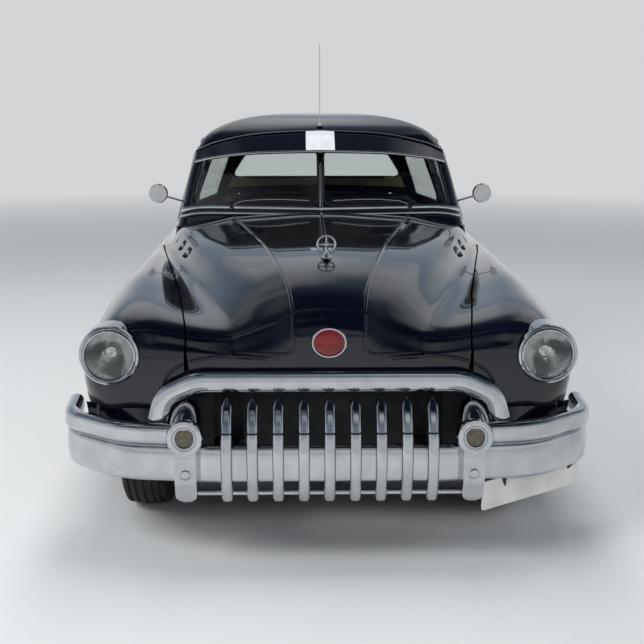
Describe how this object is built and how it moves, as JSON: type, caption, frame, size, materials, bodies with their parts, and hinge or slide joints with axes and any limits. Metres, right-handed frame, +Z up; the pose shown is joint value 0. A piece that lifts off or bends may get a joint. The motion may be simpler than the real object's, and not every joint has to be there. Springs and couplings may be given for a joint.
{
  "type": "four-door saloon car",
  "caption": "Full-size four-door saloon of about 1950 with rounded wings, a toothed chrome grille hooked over the bumper, a sun visor, opening doors, bonnet and boot, and steered wheels",
  "frame": {"origin": "on the ground under the middle of the car's length and width", "axes": "+Z up, the car faces -Y, +X is its left side, where the driver sits"},
  "size_m": [2.0518, 5.19, 1.9799],
  "materials": {
    "body_paint": "deep navy-black gloss enamel with a soft polish haze",
    "chrome": "polished chrome plate, lightly worn",
    "wheel_chrome": "bright wheel cover over a painted steel wheel",
    "window_glass": "clear laminated glass, faint green tint",
    "lamp_glass": "fluted clear lamp glass",
    "tail_lens": "red lens in a bright rim",
    "underbody_black": "satin black underbody paint",
    "cast_iron": "dark oily iron",
    "exhaust_steel": "dull heat-stained steel",
    "steering_plastic": "black moulded rim",
    "dash_paint": "dark grey dashboard enamel",
    "seat_cloth": "dark grey woven cloth",
    "tyre": "black rubber, dusty tread"
  },
  "bodies": {
    "car_body": {"aerial": "chrome", "chassis_frame": "underbody_black", "dashboard": "dash_paint", "engine_bay": "underbody_black", "engine_block": "cast_iron", "exhaust": "exhaust_steel", "floor": "underbody_black", "front_bumper": "chrome", "front_seat": "seat_cloth", "front_suspension": "cast_iron", "front_wing_left": "body_paint", "front_wing_right": "body_paint", "fuel_tank": "underbody_black", "grille_header": "chrome", "grille_teeth": "chrome", "headlamps": "chrome", "lamp_lenses": "lamp_glass", "rear_axle": "cast_iron", "rear_body": "body_paint", "rear_bumper": "chrome", "rear_seat": "seat_cloth", "rear_window_glass": "window_glass", "roof": "body_paint", "scuttle": "body_paint", "side_frame_left": "body_paint", "side_frame_right": "body_paint", "sun_visor": "body_paint", "tail_lamps": "tail_lens", "windscreen_glass": "window_glass"},
    "bonnet_lid": {"bonnet": "body_paint", "bonnet_brightwork": "chrome"},
    "boot": {"boot_lid": "body_paint"},
    "front_door_left_leaf": {"front_door_left": "body_paint", "front_door_glass_left": "window_glass", "door_mirror_left": "chrome"},
    "rear_door_left_leaf": {"rear_door_left": "body_paint", "rear_door_glass_left": "window_glass"},
    "steering_knuckle_left": {"front_knuckle_left": "cast_iron"},
    "front_road_wheel_left": {"front_wheel_left": "wheel_chrome", "front_tyre_left": "tyre"},
    "rear_road_wheel_left": {"rear_wheel_left": "wheel_chrome", "rear_tyre_left": "tyre"},
    "front_door_right_leaf": {"front_door_right": "body_paint", "front_door_glass_right": "window_glass", "door_mirror_right": "chrome"},
    "rear_door_right_leaf": {"rear_door_right": "body_paint", "rear_door_glass_right": "window_glass"},
    "steering_knuckle_right": {"front_knuckle_right": "cast_iron"},
    "front_road_wheel_right": {"front_wheel_right": "wheel_chrome", "front_tyre_right": "tyre"},
    "rear_road_wheel_right": {"rear_wheel_right": "wheel_chrome", "rear_tyre_right": "tyre"},
    "steering": {"steering_wheel": "steering_plastic"}
  },
  "joints": [
    {"name": "steering_turn", "type": "hinge", "parent": "car_body", "child": "steering", "pos_m": [0.37, -0.265, 1.01], "axis": [0, 0.775, 0.632], "range_deg": [-504, 504]},
    {"name": "knuckle_turn_left", "type": "hinge", "parent": "car_body", "child": "steering_knuckle_left", "pos_m": [0.66, -1.735, 0.358], "axis": [0, 0, 1], "range_deg": [-28, 28]},
    {"name": "front_wheel_spin_left", "type": "hinge", "parent": "steering_knuckle_left", "child": "front_road_wheel_left", "pos_m": [0.75, -1.735, 0.358], "axis": [1, 0, 0], "continuous": true},
    {"name": "rear_wheel_spin_left", "type": "hinge", "parent": "car_body", "child": "rear_road_wheel_left", "pos_m": [0.79, 1.351, 0.358], "axis": [1, 0, 0], "continuous": true},
    {"name": "front_door_swing_left", "type": "hinge", "parent": "car_body", "child": "front_door_left_leaf", "pos_m": [0.98, -0.61, 0.7], "axis": [0, 0, -1], "range_deg": [0, 65]},
    {"name": "rear_door_swing_left", "type": "hinge", "parent": "car_body", "child": "rear_door_left_leaf", "pos_m": [0.976, 0.313, 0.7], "axis": [0, 0, -1], "range_deg": [0, 65]},
    {"name": "knuckle_turn_right", "type": "hinge", "parent": "car_body", "child": "steering_knuckle_right", "pos_m": [-0.66, -1.735, 0.358], "axis": [0, 0, 1], "range_deg": [-28, 28]},
    {"name": "front_wheel_spin_right", "type": "hinge", "parent": "steering_knuckle_right", "child": "front_road_wheel_right", "pos_m": [-0.75, -1.735, 0.358], "axis": [1, 0, 0], "continuous": true},
    {"name": "rear_wheel_spin_right", "type": "hinge", "parent": "car_body", "child": "rear_road_wheel_right", "pos_m": [-0.79, 1.351, 0.358], "axis": [1, 0, 0], "continuous": true},
    {"name": "front_door_swing_right", "type": "hinge", "parent": "car_body", "child": "front_door_right_leaf", "pos_m": [-0.98, -0.61, 0.7], "axis": [0, 0, 1], "range_deg": [0, 65]},
    {"name": "rear_door_swing_right", "type": "hinge", "parent": "car_body", "child": "rear_door_right_leaf", "pos_m": [-0.976, 0.313, 0.7], "axis": [0, 0, 1], "range_deg": [0, 65]},
    {"name": "bonnet_lift", "type": "hinge", "parent": "car_body", "child": "bonnet_lid", "pos_m": [-0.5565, -2.195, 0.909], "axis": [0.1679, -0.9846, -0.0492], "range_deg": [0, 50]},
    {"name": "boot_lift", "type": "hinge", "parent": "car_body", "child": "boot", "pos_m": [0, 1.48, 1.103], "axis": [1, 0, 0], "range_deg": [0, 60]}
  ],
  "couplings": [
    {"joint": "knuckle_turn_left", "follows": "steering_turn", "ratio": 0.055556},
    {"joint": "knuckle_turn_right", "follows": "steering_turn", "ratio": 0.055556}
  ]
}
